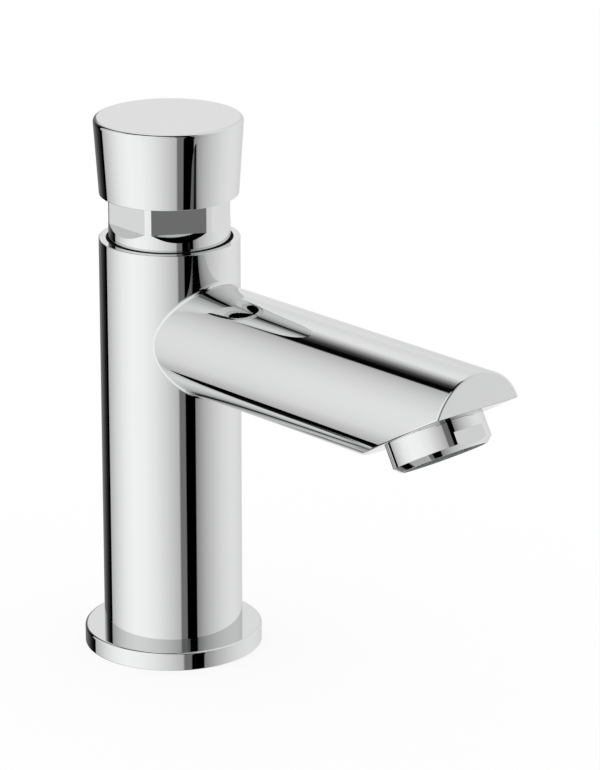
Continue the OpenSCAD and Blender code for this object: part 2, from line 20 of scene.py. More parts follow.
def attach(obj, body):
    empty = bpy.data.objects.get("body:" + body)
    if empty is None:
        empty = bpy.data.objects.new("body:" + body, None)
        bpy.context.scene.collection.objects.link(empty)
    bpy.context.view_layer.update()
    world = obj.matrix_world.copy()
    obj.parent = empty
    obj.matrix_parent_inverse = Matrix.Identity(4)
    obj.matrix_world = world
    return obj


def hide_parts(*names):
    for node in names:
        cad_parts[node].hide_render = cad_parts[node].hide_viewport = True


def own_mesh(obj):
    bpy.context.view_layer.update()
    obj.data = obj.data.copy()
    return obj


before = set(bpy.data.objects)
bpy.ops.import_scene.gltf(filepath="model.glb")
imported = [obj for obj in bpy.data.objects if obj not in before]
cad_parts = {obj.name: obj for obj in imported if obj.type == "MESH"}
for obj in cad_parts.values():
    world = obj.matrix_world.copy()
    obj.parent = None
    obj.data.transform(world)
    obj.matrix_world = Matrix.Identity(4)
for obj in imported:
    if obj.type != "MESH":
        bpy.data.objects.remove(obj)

MM = 0.001
MERGE_M = 1e-6
ROUND_STEPS = 8
FULL_TURN_DEG = 360.0
UP = Vector((0.0, 0.0, 1.0))
PURE_WHITE = "#ffffff"
PURE_BLACK = "#000000"

# Sockets of a Mix node that mixes two colours.
MIX_SHARE, MIX_FIRST, MIX_SECOND, MIX_RESULT = 0, 6, 7, 2

Place = Callable[[float], Vector]
Colour = tuple[float, float, float, float]
SoftEdge = tuple[float, float]

log = logging.getLogger("push_timed_tap")


class Body(Enum):
    """Bodies that move by themselves."""

    TAP = "tap"
    BUTTON = "push_button"


class Slot(Enum):
    """Material slots of the record."""

    CHROME = "chrome_plated_brass"
    RUBBER = "nitrile_rubber"
    STEEL = "stainless_steel"
    BRASS = "bare_brass"
    WHITE = "white_acetal"
    GREY = "grey_acetal"


def linear(code: str) -> Colour:
    """Turns an sRGB hex value into a linear colour.

    Args:
        code: Colour such as "#f2f2f2".

    Returns:
        Red, green, blue and alpha for a shader's socket.
    """
    parts = [int(code[i : i + 2], 16) / 255 for i in (1, 3, 5)]
    red, green, blue = (p / 12.92 if p <= 0.04045 else ((p + 0.055) / 1.055) ** 2.4 for p in parts)
    return red, green, blue, 1.0


def per_metre(size_mm: float) -> float:
    """Returns a texture's scale for a pattern of a given size in millimetres."""
    return 1.0 / (size_mm * MM)


def add_node(tree: bpy.types.NodeTree, kind: str, inputs: dict[Any, Any], **settings: Any) -> bpy.types.Node:
    """Adds a node with its settings, values and links.

    Args:
        tree: Node tree that takes the node.
        kind: Blender's name for the node.
        inputs: Value, or socket to link, for each input by name or number.
        **settings: Properties of the node.

    Returns:
        The new node.
    """
    node = tree.nodes.new(kind)
    for name, value in settings.items():
        setattr(node, name, value)
    for name, value in inputs.items():
        if isinstance(value, bpy.types.NodeSocket):
            tree.links.new(value, node.inputs[name])
        else:
            node.inputs[name].default_value = value
    return node


@dataclass(frozen=True)
class Finish:
    """Surface of one real material: two close tones, a cloud of gloss, and a fine texture."""

    name: str
    slot: Slot
    colour: str
    second_colour: str
    gloss: tuple[float, float]
    cloud_mm: float
    grain_mm: float
    grain_height_mm: float
    metallic: float = 0.0
    specular: float = 0.5
    edge_tint: str = PURE_WHITE
    stretch: tuple[float, float, float] = (1.0, 1.0, 1.0)
    cloud_span: tuple[float, float] = (0.3, 0.7)
    cloud_detail: float = 3.0
    grain_detail: float = 4.0

    def material(self) -> bpy.types.Material:
        """Returns the finish as a node material, made on first use."""
        return bpy.data.materials.get(self.name) or self._build()

    def _build(self) -> bpy.types.Material:
        """Builds the node material.

        Returns:
            The material.
        """
        material = bpy.data.materials.new(self.name)
        material.use_nodes = True
        tree = material.node_tree
        shader = tree.nodes["Principled BSDF"]
        shader.inputs["Metallic"].default_value = self.metallic
        shader.inputs["Specular IOR Level"].default_value = self.specular
        shader.inputs["Specular Tint"].default_value = linear(self.edge_tint)
        place = add_node(tree, "ShaderNodeTexCoord", {}).outputs["Object"]
        stretched = add_node(tree, "ShaderNodeMapping", {"Vector": place, "Scale": self.stretch}).outputs[0]
        cloud = add_node(
            tree,
            "ShaderNodeTexNoise",
            {"Vector": place, "Scale": per_metre(self.cloud_mm), "Detail": self.cloud_detail},
        ).outputs["Fac"]
        grain = add_node(
            tree,
            "ShaderNodeTexNoise",
            {"Vector": stretched, "Scale": per_metre(self.grain_mm), "Detail": self.grain_detail},
        ).outputs["Fac"]
        tone = add_node(
            tree,
            "ShaderNodeMix",
            {MIX_SHARE: cloud, MIX_FIRST: linear(self.colour), MIX_SECOND: linear(self.second_colour)},
            data_type="RGBA",
        )
        thin, thick = self.cloud_span
        shiny, dull = self.gloss
        rough = add_node(
            tree,
            "ShaderNodeMapRange",
            {"Value": cloud, "From Min": thin, "From Max": thick, "To Min": shiny, "To Max": dull},
        )
        bump = add_node(
            tree,
            "ShaderNodeBump",
            {"Height": grain, "Strength": 1.0, "Distance": self.grain_height_mm * MM},
        )
        tree.links.new(tone.outputs[MIX_RESULT], shader.inputs["Base Color"])
        tree.links.new(rough.outputs["Result"], shader.inputs["Roughness"])
        tree.links.new(bump.outputs["Normal"], shader.inputs["Normal"])
        return material


# Squeezes a grain along the upright axis into the lines that a lathe's tool leaves.
TOOL_LINES = (1.0, 1.0, 6.0)

# Bright chromium plate on buffed brass: a near-white mirror with a breath of haze and the faintest waviness.
CHROME = Finish(
    name="polished_chrome_plate",
    slot=Slot.CHROME,
    colour="#e1e2e1",
    second_colour="#dfe1e0",
    edge_tint="#efefef",
    metallic=1.0,
    gloss=(0.012, 0.03),
    cloud_mm=22.0,
    grain_mm=9.0,
    grain_height_mm=0.0004,
)
# Moulded nitrile, partly painted shade: a black, dull, slightly gritty skin, darkened to soot black and
# nearly without shine so that the seal in the gap under the bonnet shows as a black shadow line.
RUBBER = Finish(
    name="nitrile_rubber_darkened_as_shade",
    slot=Slot.RUBBER,
    # Painted shade: these near-black tones and the almost shineless skin stand for the shadow in the gap
    # under the bonnet.
    colour="#070708",
    second_colour="#0c0c0d",
    specular=0.02,
    gloss=(0.6, 0.8),
    cloud_mm=4.0,
    grain_mm=0.25,
    grain_height_mm=0.012,
)
# Drawn and turned stainless steel: cool grey with fine lines across its length.
STEEL = Finish(
    name="turned_stainless_steel",
    slot=Slot.STEEL,
    colour="#c3c5c7",
    second_colour="#aeb1b4",
    metallic=1.0,
    gloss=(0.2, 0.34),
    cloud_mm=5.0,
    grain_mm=0.4,
    grain_height_mm=0.004,
    stretch=TOOL_LINES,
)
# Turned brass without plating: warm yellow, duller where the tool has left its lines.
BRASS = Finish(
    name="turned_bare_brass",
    slot=Slot.BRASS,
    colour="#d9b36a",
    second_colour="#c49a4e",
    metallic=1.0,
    gloss=(0.18, 0.34),
    cloud_mm=5.0,
    grain_mm=0.4,
    grain_height_mm=0.004,
    stretch=TOOL_LINES,
)
# Moulded natural acetal: milky white with a soft shine.
WHITE = Finish(
    name="moulded_white_acetal",
    slot=Slot.WHITE,
    colour="#eceae2",
    second_colour="#e3e0d6",
    gloss=(0.34, 0.46),
    cloud_mm=6.0,
    grain_mm=0.5,
    grain_height_mm=0.004,
)
# Moulded grey acetal: slate grey and dull, as water keeps it.
GREY = Finish(
    name="moulded_grey_acetal",
    slot=Slot.GREY,
    colour="#6a6d6f",
    second_colour="#616466",
    specular=0.05,
    gloss=(0.5, 0.65),
    cloud_mm=6.0,
    grain_mm=0.5,
    grain_height_mm=0.004,
)


def finish_piece(
    bm: BMesh, name: str, finish: Finish, body: Body, nodes: Sequence[str], sharp_deg: float = 20.0
) -> bpy.types.Object:
    """Turns a bmesh into a dressed piece that rides on its body.

    Args:
        bm: Shape in metres; it is freed.
        name: Name of the piece.
        finish: Surface that it wears.
        body: Body that it moves with.
        nodes: Solids that it stands for.
        sharp_deg: Angle from which an edge is drawn sharp.

    Returns:
        The piece.
    """
    bmesh.ops.recalc_face_normals(bm, faces=bm.faces)
    for face in bm.faces:
        face.smooth = True
    for edge in bm.edges:
        edge.smooth = edge.calc_face_angle(0.0) < math.radians(sharp_deg)
    mesh = bpy.data.meshes.new(name)
    bm.to_mesh(mesh)
    bm.free()
    piece = bpy.data.objects.new(name, mesh)
    bpy.context.scene.collection.objects.link(piece)
    mesh.materials.append(finish.material())
    even = piece.modifiers.new("flat_faces_stay_flat", "WEIGHTED_NORMAL")
    even.keep_sharp = True
    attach(piece, body.value)
    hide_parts(*nodes)
    log.info("%s: %d faces, for %s", name, len(mesh.polygons), ", ".join(nodes))
    return piece


def merge(bm: BMesh) -> None:
    """Merges vertices that lie in one place."""
    bmesh.ops.remove_doubles(bm, verts=bm.verts, dist=MERGE_M)


def on_circle(vert: BMVert, r: float, z: float) -> bool:
    """Tells whether a vertex lies on a circle about the upright axis, in metres."""
    return abs(vert.co.xy.length - r) < MERGE_M and abs(vert.co.z - z) < MERGE_M


def on_plane(vert: BMVert, middle: Vector, normal: Vector) -> bool:
    """Tells whether a vertex lies on a plane, in metres."""
    return abs((vert.co - middle).dot(normal)) < MERGE_M


def round_edges(bm: BMesh, edges: Iterable[BMEdge], radius_mm: float, segments: int) -> None:
    """Rounds edges.

    Args:
        bm: Shape that holds the edges.
        edges: Edges to round.
        radius_mm: Width of the rounding on each side of an edge.
        segments: Faces across the rounding.
    """
    bmesh.ops.bevel(
        bm,
        geom=list(edges),
        offset=radius_mm * MM,
        offset_type="OFFSET",
        segments=segments,
        profile=0.5,
        affect="EDGES",
        material=-1,
        clamp_overlap=False,
    )


def turned(profile: Sequence[tuple[float, float]], rounds: dict[int, float], steps: int = 256) -> BMesh:
    """Spins a closed half-section about the upright axis.

    Args:
        profile: Radius and height of each corner, in millimetres.
        rounds: Radius of the rounding on a corner, by the corner's number.
        steps: Steps in a full turn.

    Returns:
        The turned shape.
    """
    bm = bmesh.new()
    verts = [bm.verts.new((r * MM, 0.0, z * MM)) for r, z in profile]
    edges = [bm.edges.new(pair) for pair in zip(verts, verts[1:] + verts[:1])]
    bmesh.ops.spin(
        bm, geom=verts + edges, cent=(0, 0, 0), axis=UP, angle=math.tau, steps=steps, use_merge=True
    )
    merge(bm)
    bmesh.ops.recalc_face_normals(bm, faces=bm.faces)
    for number, radius in rounds.items():
        r, z = (c * MM for c in profile[number])
        corner = [e for e in bm.edges if all(on_circle(v, r, z) for v in e.verts)]
        round_edges(bm, corner, radius, ROUND_STEPS)
    return bm


def grow(bm: BMesh, edges: Sequence[BMEdge], places: Iterable[Place]) -> list[BMEdge]:
    """Extrudes a ring of edges through a row of ring shapes.

    Args:
        bm: Shape that holds the ring; its vertices know their turn.
        edges: The ring.
        places: Where each new ring puts a vertex, by the vertex's turn.

    Returns:
        The last ring.
    """
    turn = bm.verts.layers.float["turn"]
    for place in places:
        made = bmesh.ops.extrude_edge_only(bm, edges=edges)["geom"]
        for vert in (g for g in made if isinstance(g, BMVert)):
            vert.co = place(vert[turn])
        edges = [g for g in made if isinstance(g, BMEdge) and g.is_boundary]
    return list(edges)


def start_ring(bm: BMesh, place: Place, segments: int, marks: Sequence[float] = ()) -> list[BMEdge]:
    """Starts a ring whose vertices know their turn.

    Args:
        bm: Shape that takes the ring.
        place: Where a vertex goes, by its turn.
        segments: Vertices in the ring.
        marks: Turns that have to have a vertex.

    Returns:
        The ring's edges.
    """
    turn = bm.verts.layers.float.get("turn") or bm.verts.layers.float.new("turn")
    ring = bmesh.ops.create_circle(bm, segments=segments, radius=1.0)["verts"]
    half_step = math.pi / segments
    for vert in ring:
        angle = math.atan2(vert.co.y, vert.co.x)
        near = [m for m in marks if abs(math.remainder(m - angle, math.tau)) <= half_step]
        vert[turn] = near[0] if near else angle
        vert.co = place(vert[turn])
    return [e for e in bm.edges if all(v in ring for v in e.verts)]


def ring_tube(places: Sequence[Place], segments: int, marks: Sequence[float] = ()) -> BMesh:
    """Makes a closed shape from a row of rings around its section.

    Args:
        places: Where each ring puts a vertex, by its turn, once round the section.
        segments: Vertices in a ring.
        marks: Turns that have to have a vertex.

    Returns:
        The shape.
    """
    bm = bmesh.new()
    first = start_ring(bm, places[0], segments, marks)
    grow(bm, first, [*places[1:], places[0]])
    merge(bm)
    bmesh.ops.dissolve_degenerate(bm, dist=MERGE_M, edges=bm.edges)
    return bm


def off_flat(turn: float, normals: Sequence[float]) -> float:
    """Returns the angle between a turn and the middle of the nearest flat."""
    return min(abs(math.remainder(turn - n, math.tau)) for n in normals)


def flat_cut(r: float, flat_r: float, turn: float, normals: Sequence[float]) -> float:
    """Returns the radius of a bar at a turn where flats cut it.

    Args:
        r: Radius of the round bar.
        flat_r: Distance of the flats from its axis.
        turn: Turn around the axis.
        normals: Turns that the flats face.

    Returns:
        The radius that is left.
    """
    facing = math.cos(off_flat(turn, normals))
    return flat_r / facing if facing > flat_r / r else r


def flat_ends(r: float, flat_r: float, normals: Sequence[float]) -> list[float]:
    """Returns the turns at which flats on a round bar begin and end."""
    half = math.acos(flat_r / r)
    return [n + side * half for n in normals for side in (-1, 1)]


@dataclass
class Column:
    """Turned column on its thin flange."""

    r: float = 19.5
    rim_z: float = 118.6
    rim_edge: float = 0.25
    rim_bore_r: float = 17.55
    rim_bore_edge: float = 0.04
    rim_floor_z: float = 117.1
    thread_r: float = 16.0
    thread_z: float = 108.5
    bore_r: float = 15.0
    shoulder_r: float = 11.0
    shoulder_z: float = 74.0
    shoulder_t: float = 5.0
    chamber_floor_z: float = 21.6
    passage_r: float = 6.0
    filter_r: float = 8.6
    filter_top_z: float = 17.6
    inlet_r: float = 9.3
    inlet_top_z: float = 14.6
    inlet_mouth: float = 1.2
    groove_pitch: float = 1.814
    groove_depth: float = 1.1
    groove_half_flat: float = 0.15
    foot_r: float = 17.4
    foot_z: float = 0.6
    flange_r: float = 25.0
    flange_h: float = 5.2
    flange_edge: float = 0.8
    flange_foot_edge: float = 0.3
    flange_gap: float = 0.05
    gasket_r: float = 19.45
    gasket_w: float = 3.0
    gasket_h: float = 1.6

    def build(self) -> None:
        """Builds the column and its flange."""
        finish_piece(self._body(), "column_turned", CHROME, Body.TAP, ["column"])
        finish_piece(self._flange(), "flange_turned", CHROME, Body.TAP, ["base_flange"])

    def _inlet_thread(self) -> list[tuple[float, float]]:
        """Draws the inlet's thread as a row of ring grooves.

        Returns:
            Corners of the half-section, from the thread's top to its mouth.
        """
        corners = [(self.inlet_r, self.inlet_top_z)]
        root_r = self.inlet_r + self.groove_depth
        half = self.groove_pitch / 2 - self.groove_half_flat
        z = self.inlet_top_z - self.groove_pitch
        while z > self.foot_z + self.groove_pitch:
            corners += [
                (self.inlet_r, z + half),
                (root_r, z + self.groove_half_flat),
                (root_r, z - self.groove_half_flat),
                (self.inlet_r, z - half),
            ]
            z -= self.groove_pitch
        mouth = [
            (self.inlet_r, self.foot_z + self.inlet_mouth),
            (self.inlet_r + self.inlet_mouth, self.foot_z),
        ]
        return corners + mouth

    def _body(self) -> BMesh:
        """Turns the column, bored for the valve and threaded for the inlet.

        Returns:
            The column.
        """
        shoulder_foot_z = self.shoulder_z - self.shoulder_t
        profile = [
            (self.r, self.rim_z),
            (self.rim_bore_r, self.rim_z),
            (self.rim_bore_r, self.rim_floor_z),
            (self.thread_r, self.rim_floor_z),
            (self.thread_r, self.thread_z),
            (self.bore_r, self.thread_z),
            (self.bore_r, self.shoulder_z),
            (self.shoulder_r, self.shoulder_z),
            (self.shoulder_r, shoulder_foot_z),
            (self.bore_r, shoulder_foot_z),
            (self.bore_r, self.chamber_floor_z),
            (self.passage_r, self.chamber_floor_z),
            (self.passage_r, self.filter_top_z),
            (self.filter_r, self.filter_top_z),
            (self.filter_r, self.inlet_top_z),
            *self._inlet_thread(),
            (self.foot_r, self.foot_z),
            (self.foot_r, self.flange_h),
            (self.r, self.flange_h),
        ]
        return turned(profile, {0: self.rim_edge, 1: self.rim_bore_edge})

    def _flange(self) -> BMesh:
        """Turns the flange with the groove for its rubber ring.

        Returns:
            The flange.
        """
        bore_r = self.foot_r + self.flange_gap
        profile = [
            (self.flange_r, self.flange_h),
            (bore_r, self.flange_h),
            (bore_r, 0.0),
            (self.gasket_r, 0.0),
            (self.gasket_r, self.gasket_h),
            (self.gasket_r + self.gasket_w, self.gasket_h),
            (self.gasket_r + self.gasket_w, 0.0),
            (self.flange_r, 0.0),
        ]
        return turned(profile, {0: self.flange_edge, 7: self.flange_foot_edge})


@dataclass
class Spout:
    """Level spout, cut off by a sloping underside, with its aerator."""

    column_r: float = Column.r
    axis_z: float = 93.0
    r: float = 15.8
    fillet: float = 1.0
    fillet_steps: int = 8
    front_x: float = 120.6
    nose_rise: float = 6.0
    nose_edge: float = 0.6
    nose_steps: int = 4
    tilt: float = math.radians(30.0)
    setback: float = 18.7
    bore_r: float = 11.5
    bore_segments: int = 120
    seat_depth: float = 7.5
    port_r: float = 9.6
    port_depth: float = 9.0
    waterway_r: float = 11.0
    bend_reach: float = 10.0
    bend_bulge: float = 0.5
    bend_steps: int = 6
    ring_r: float = 13.5
    ring_h: float = 8.2
    ring_edge: float = 0.05
    ring_bore_r: float = 10.15
    mouth_r: float = 11.4
    mouth_h: float = 6.9
    thread_r: float = 11.45
    thread_len: float = 6.0
    chamfer_h: float = 1.5
    chamfer_w: float = 1.6
    flats_r: float = 12.5
    flats_band: float = 3.4
    segments: int = 360

    def build(self) -> None:
        """Builds the spout and the aerator's ring."""
        finish_piece(self._arm(), "spout_arm", CHROME, Body.TAP, ["spout"], sharp_deg=40.0)
        finish_piece(self._ring(), "aerator_ring", CHROME, Body.TAP, ["aerator_housing"])

    @property
    def outward(self) -> Vector:
        """Direction in which the water leaves."""
        return Vector((math.sin(self.tilt), 0.0, -math.cos(self.tilt)))

    @property
    def chord(self) -> Vector:
        """Middle of the front face's lower edge, in millimetres."""
        return Vector((self.front_x, 0.0, self.axis_z + self.nose_rise))

    def _outlet(self, turn: float, r: float, depth: float) -> Vector:
        """Finds a point around the aerator's axis.

        Args:
            turn: Turn around the axis, from the front of the spout.
            r: Distance from the axis.
            depth: Distance into the spout from its underside.

        Returns:
            The point, in metres.
        """
        forward = Vector((math.cos(self.tilt), 0.0, math.sin(self.tilt)))
        side = Vector((0.0, 1.0, 0.0))
        middle = self.chord - forward * self.setback - self.outward * depth
        return (middle + (forward * math.cos(turn) + side * math.sin(turn)) * r) * MM

    def _fillet(self, turn: float, share: float) -> Vector:
        """Finds a point on the rounding between column and spout.

        Args:
            turn: Turn around the spout's axis.
            share: 0 on the column and 1 on the spout.

        Returns:
            The point, in metres.
        """
        reach = self.r + self.fillet
        y, z = reach * math.cos(turn), self.axis_z + reach * math.sin(turn)
        out = self.column_r + self.fillet
        middle = Vector((math.sqrt(out**2 - y**2), y, z))
        to_column = Vector((-middle.x, -middle.y, 0.0)).normalized()
        to_spout = Vector((0.0, -math.cos(turn), -math.sin(turn)))
        return (middle + to_column.slerp(to_spout, share) * self.fillet) * MM

    def _saddle(self, turn: float, r: float) -> Vector:
        """Returns a point of the spout's end against the column, in metres."""
        y = r * math.cos(turn)
        return Vector((math.sqrt(self.column_r**2 - y**2), y, self.axis_z + r * math.sin(turn))) * MM

    def _bend(self, turn: float, share: float) -> Vector:
        """Finds a point of the waterway's bend.

        Args:
            turn: Turn around the waterway, as at the aerator.
            share: 0 at the aerator and 1 where the waterway runs level.

        Returns:
            The point, in metres.
        """
        start = self._outlet(0.0, 0.0, self.port_depth) / MM
        lean = self.tilt + share * (math.pi / 2 - self.tilt)
        heading = Vector((-math.sin(lean), 0.0, math.cos(lean)))
        across = Vector((math.cos(lean), 0.0, math.sin(lean)))
        end = Vector((start.x - self.bend_reach, 0.0, self.axis_z))
        middle = start.lerp(end, share) + heading * math.sin(share * math.pi) * self.bend_bulge
        r = self.port_r + share * (self.waterway_r - self.port_r)
        return (middle + (across * math.cos(turn) + Vector((0.0, math.sin(turn), 0.0))) * r) * MM

    def _arm(self) -> BMesh:
        """Shapes the spout with its cut nose, its rounded root and its waterway.

        Returns:
            The spout.
        """
        bm = bmesh.new()
        steps = [i / self.fillet_steps for i in range(self.fillet_steps + 1)]
        root = start_ring(bm, lambda t: self._fillet(t, 0.0), self.segments)
        past = (self.front_x + self.r) * MM
        outer = [lambda t, s=s: self._fillet(t, s) for s in steps[1:]]
        outer.append(lambda t: Vector((past, self._saddle(t, self.r).y, self._saddle(t, self.r).z)))
        grow(bm, root, outer)
        front, under = (self.chord * MM, Vector((1.0, 0.0, 0.0))), (self.chord * MM, self.outward)
        for middle, normal in (front, under):
            bmesh.ops.bisect_plane(
                bm,
                geom=[*bm.verts, *bm.edges, *bm.faces],
                plane_co=middle,
                plane_no=normal,
                clear_outer=True,
            )
        corners = [v for v in bm.verts if on_plane(v, *front) and on_plane(v, *under)]
        lip = bm.edges.new(corners)
        nose = [e for e in bm.edges if e.is_boundary and all(on_plane(v, *front) for v in e.verts)]
        slope = [e for e in bm.edges if e.is_boundary and all(on_plane(v, *under) for v in e.verts)]
        bmesh.ops.edgeloop_fill(bm, edges=[*nose, lip])
        bore = start_ring(bm, lambda t: self._outlet(t, self.bore_r, 0.0), self.bore_segments)
        bmesh.ops.bridge_loops(bm, edges=[*slope, lip, *bore])
        self._waterway(bm, root, bore)
        rim = [e for e in bm.edges if e in {*nose, *slope}]
        round_edges(bm, rim, self.nose_edge, self.nose_steps)
        return bm

    def _waterway(self, bm: BMesh, root: Sequence[BMEdge], bore: Sequence[BMEdge]) -> None:
        """Adds the way that the water takes from the column to the aerator.

        Args:
            bm: Spout's shape.
            root: Ring where the spout meets the column.
            bore: Mouth of the aerator's thread.
        """
        bends = [i / self.bend_steps for i in range(self.bend_steps + 1)]
        places: list[Place] = [
            lambda t: self._outlet(t, self.bore_r, self.seat_depth),
            lambda t: self._outlet(t, self.port_r, self.seat_depth),
            lambda t: self._outlet(t, self.port_r, self.port_depth),
            *[lambda t, s=s: self._bend(t, s) for s in bends[1:]],
            lambda t: self._saddle(math.pi / 2 - t, self.waterway_r),
        ]
        inner = grow(bm, bore, places)
        bmesh.ops.bridge_loops(bm, edges=[*root, *inner])

    def _ring(self) -> BMesh:
        """Shapes the aerator's ring with its chamfer, two spanner flats and thread.

        Returns:
            The ring.
        """
        normals = (0.0, math.pi)

        def plain(r: float, depth: float) -> Place:
            """Returns a round ring at a depth."""
            return lambda t: self._outlet(t, r, depth)

        def chamfer(turn: float) -> Vector:
            """Finds the chamfer's upper edge, which runs down where the flats cut it.

            Args:
                turn: Turn around the aerator's axis.

            Returns:
                A point of the edge, in metres.
            """
            r = flat_cut(self.ring_r, self.flats_r, turn, normals)
            drop = (self.ring_r - r) * self.chamfer_h / self.chamfer_w
            return self._outlet(turn, r, self.chamfer_h - self.ring_h - drop)

        def step(turn: float) -> Vector:
            """Returns the flats' upper edge."""
            return self._outlet(turn, flat_cut(self.ring_r, self.flats_r, turn, normals), -self.flats_band)

        places: list[Place] = [
            plain(self.mouth_r, -self.ring_h),
            plain(self.ring_r - self.chamfer_w, -self.ring_h),
            chamfer,
            step,
            plain(self.ring_r, -self.flats_band),
            plain(self.ring_r, -self.ring_edge),
            plain(self.ring_r - self.ring_edge, 0.0),
            plain(self.thread_r, 0.0),
            plain(self.thread_r, self.thread_len),
            plain(self.ring_bore_r, self.thread_len),
            plain(self.ring_bore_r, -self.mouth_h),
            plain(self.mouth_r, -self.mouth_h),
        ]
        return ring_tube(places, self.segments, flat_ends(self.ring_r, self.flats_r, normals))


@dataclass
class Bonnet:
    """Bonnet screwed into the column: a round collar under six spanner flats."""

    collar_r: float = 16.8
    collar_z: float = Column.rim_z
    flats: int = 6
    first_flat: float = math.radians(29.3)
    flat_r: float = 15.0
    flats_z: float = 123.4
    runout: float = math.radians(48.0)
    top_z: float = 139.0
    edge: float = 0.3
    thread_r: float = 15.95
    skirt_z: float = 108.8
    skirt_bore_r: float = 13.05
    web_z: float = 116.5
    stem_hole_r: float = 4.2
    stem_seal_z: float = 118.0
    bush_r: float = 6.5
    bush_flange_r: float = 8.5
    bush_flange_t: float = 1.5
    recess_r: float = 12.5
    recess_z: float = 128.0
    segments: int = 360

    def build(self) -> None:
        """Builds the bonnet."""
        normals = [self.first_flat + math.tau * i / self.flats for i in range(self.flats)]

        def plain(r: float, z: float) -> Place:
            """Returns a round ring."""
            return lambda t: Vector((r * math.cos(t), r * math.sin(t), z)) * MM

        def hexagon(z: float, inset: float = 0.0) -> Place:
            """Returns a ring with the six flats."""
            return lambda t: plain(flat_cut(self.collar_r, self.flat_r, t, normals) - inset, z)(t)

        def foot(turn: float) -> Vector:
            """Returns the lower edge of the flats' sloping run-outs."""
            cut = max(self.collar_r * math.cos(off_flat(turn, normals)) - self.flat_r, 0.0)
            return plain(self.collar_r, self.flats_z - cut * math.tan(self.runout))(turn)

        bush_flange_z = self.recess_z - self.bush_flange_t
        places = [
            plain(self.stem_hole_r, self.web_z),
            plain(self.skirt_bore_r, self.web_z),
            plain(self.skirt_bore_r, self.skirt_z),
            plain(self.thread_r, self.skirt_z),
            plain(self.thread_r, self.collar_z),
            plain(self.collar_r, self.collar_z),
            foot,
            hexagon(self.flats_z),
            hexagon(self.top_z - self.edge),
            hexagon(self.top_z, self.edge),
            plain(self.recess_r, self.top_z),
            plain(self.recess_r, self.recess_z),
            plain(self.bush_flange_r, self.recess_z),
            plain(self.bush_flange_r, bush_flange_z),
            plain(self.bush_r, bush_flange_z),
            plain(self.bush_r, self.stem_seal_z),
            plain(self.stem_hole_r, self.stem_seal_z),
        ]
        shape = ring_tube(places, self.segments, flat_ends(self.collar_r, self.flat_r, normals))
        finish_piece(shape, "bonnet_six_sided", CHROME, Body.TAP, ["bonnet"])


@dataclass
class Button:
    """Flared press-down cap and the spring that lifts it."""

    bottom_z: float = 131.16
    top_z: float = 152.5
    bottom_r: float = 19.22
    top_r: float = 20.66
    top_edge: float = 1.2
    bottom_edge: float = 0.2
    bore_r: float = 17.2
    ceiling_z: float = 149.3
    boss_r: float = 7.0
    boss_z: float = 141.0
    stem_r: float = 4.05
    stem_top_z: float = 148.05
    stroke: float = 9.0
    spring_floor_z: float = Bonnet.recess_z
    spring_gap: float = 0.05
    coil_r: float = 10.5
    wire_r: float = 0.8
    wire_sides: int = 12
    turns: int = 6
    turn_steps: int = 48

    def build(self) -> None:
        """Builds the cap and its spring."""
        profile = [
            (0.0, self.top_z),
            (self.top_r, self.top_z),
            (self.bottom_r, self.bottom_z),
            (self.bore_r, self.bottom_z),
            (self.bore_r, self.ceiling_z),
            (self.boss_r, self.ceiling_z),
            (self.boss_r, self.boss_z),
            (self.stem_r, self.boss_z),
            (self.stem_r, self.stem_top_z),
            (0.0, self.stem_top_z),
        ]
        cap = turned(profile, {1: self.top_edge, 2: self.bottom_edge, 3: self.bottom_edge})
        finish_piece(cap, "button_cap", CHROME, Body.BUTTON, ["push_cap"])
        self._spring()

    def _spring(self) -> None:
        """Builds the spring, from the bonnet's recess up to the cap's ceiling."""
        bm = bmesh.new()
        steps = self.turns * self.turn_steps
        height = self.ceiling_z - self.spring_floor_z
        margin = self.wire_r + self.spring_gap
        start = Matrix.Translation(Vector((self.coil_r, 0.0, self.spring_floor_z + margin)) * MM)
        upright = Matrix.Rotation(math.pi / 2, 4, "X")
        wire = bmesh.ops.create_circle(
            bm, segments=self.wire_sides, radius=self.wire_r * MM, matrix=start @ upright
        )["verts"]
        bmesh.ops.spin(
            bm,
            geom=[*wire, *bm.edges],
            cent=(0, 0, 0),
            axis=UP,
            dvec=UP * ((height - 2 * margin) / steps * MM),
            angle=math.tau * self.turns,
            steps=steps,
        )
        ends = [e for e in bm.edges if e.is_boundary]
        bmesh.ops.holes_fill(bm, edges=ends)
        spring = finish_piece(bm, "spring_coil", STEEL, Body.TAP, ["return_spring"], sharp_deg=60.0)
        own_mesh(spring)


@dataclass
class Inside:
    """Pieces that keep their solids, by the finish that they wear."""

    rubber: tuple[str, ...] = (
        "base_gasket",
        "bonnet_seal",
        "stem_o_ring",
        "sleeve_o_ring",
        "seat_gasket",
        "piston_lip_seal",
        "valve_washer",
        "aerator_washer",
    )
    steel: tuple[str, ...] = ("filter_mesh", "stem", "piston_clip", "cap_lock_nut", "aerator_screen")
    brass: tuple[str, ...] = ("valve_seat", "timing_jet", "valve_head", "valve_nut")
    white: tuple[str, ...] = (
        "filter_frame",
        "guide_bush",
        "timing_sleeve",
        "guide_plate",
        "outlet_cage",
        "piston",
    )
    grey: tuple[str, ...] = ("aerator_insert",)

    def dress(self) -> None:
        """Gives each solid its finish."""
        sets = (
            (self.rubber, RUBBER),
            (self.steel, STEEL),
            (self.brass, BRASS),
            (self.white, WHITE),
            (self.grey, GREY),
        )
        for names, finish in sets:
            for name in names:
                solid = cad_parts[name]
                solid.data.materials.clear()
                solid.data.materials.append(finish.material())
                log.info("%s keeps its solid, in %s", name, finish.name)


